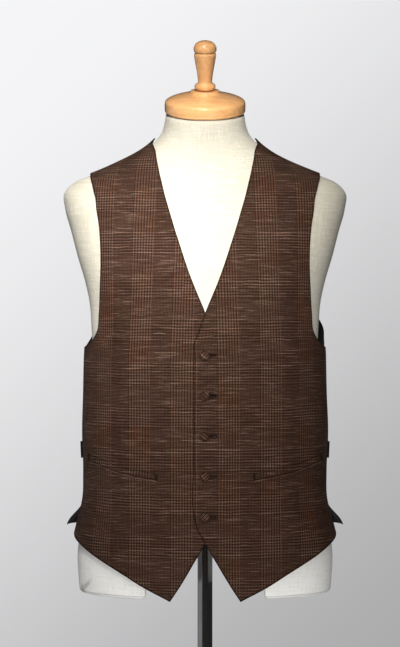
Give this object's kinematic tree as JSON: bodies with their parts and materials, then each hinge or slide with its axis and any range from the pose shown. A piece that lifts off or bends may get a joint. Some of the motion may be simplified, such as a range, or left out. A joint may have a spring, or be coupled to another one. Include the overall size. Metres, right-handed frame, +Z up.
{
  "type": "suit waistcoat on a dress form",
  "caption": "Buttoned suit waistcoat in brown glen check with a satin back and cinch strap, on a limbless canvas dress form with a wooden neck cap, pole and round base.",
  "frame": {"origin": "on the floor, at the middle of the round base's underside", "axes": "+Z up the pole; the garment's front faces -Y; +X is the wearer's left"},
  "size_m": [0.425, 0.32, 1.6283],
  "materials": {
    "suiting": "brown wool suiting with a glen check, matt",
    "satin": "black satin, softly glossy",
    "canvas": "natural canvas cover, matt",
    "wood": "pale turned wood, satin varnish",
    "steel": "dark chromed steel"
  },
  "bodies": {
    "root": {"front_left": "suiting", "front_right": "suiting", "pocket_welt_left": "suiting", "pocket_welt_right": "suiting", "button_1": "suiting", "button_2": "suiting", "button_3": "suiting", "button_4": "suiting", "button_5": "suiting", "back_left": "satin", "back_right": "satin", "back_strap_left": "satin", "back_strap_right": "satin", "strap_buckle": "steel", "form_torso": "canvas", "neck_cap": "wood", "finial": "wood", "pole": "steel", "stand_base": "steel"}
  },
  "joints": []
}
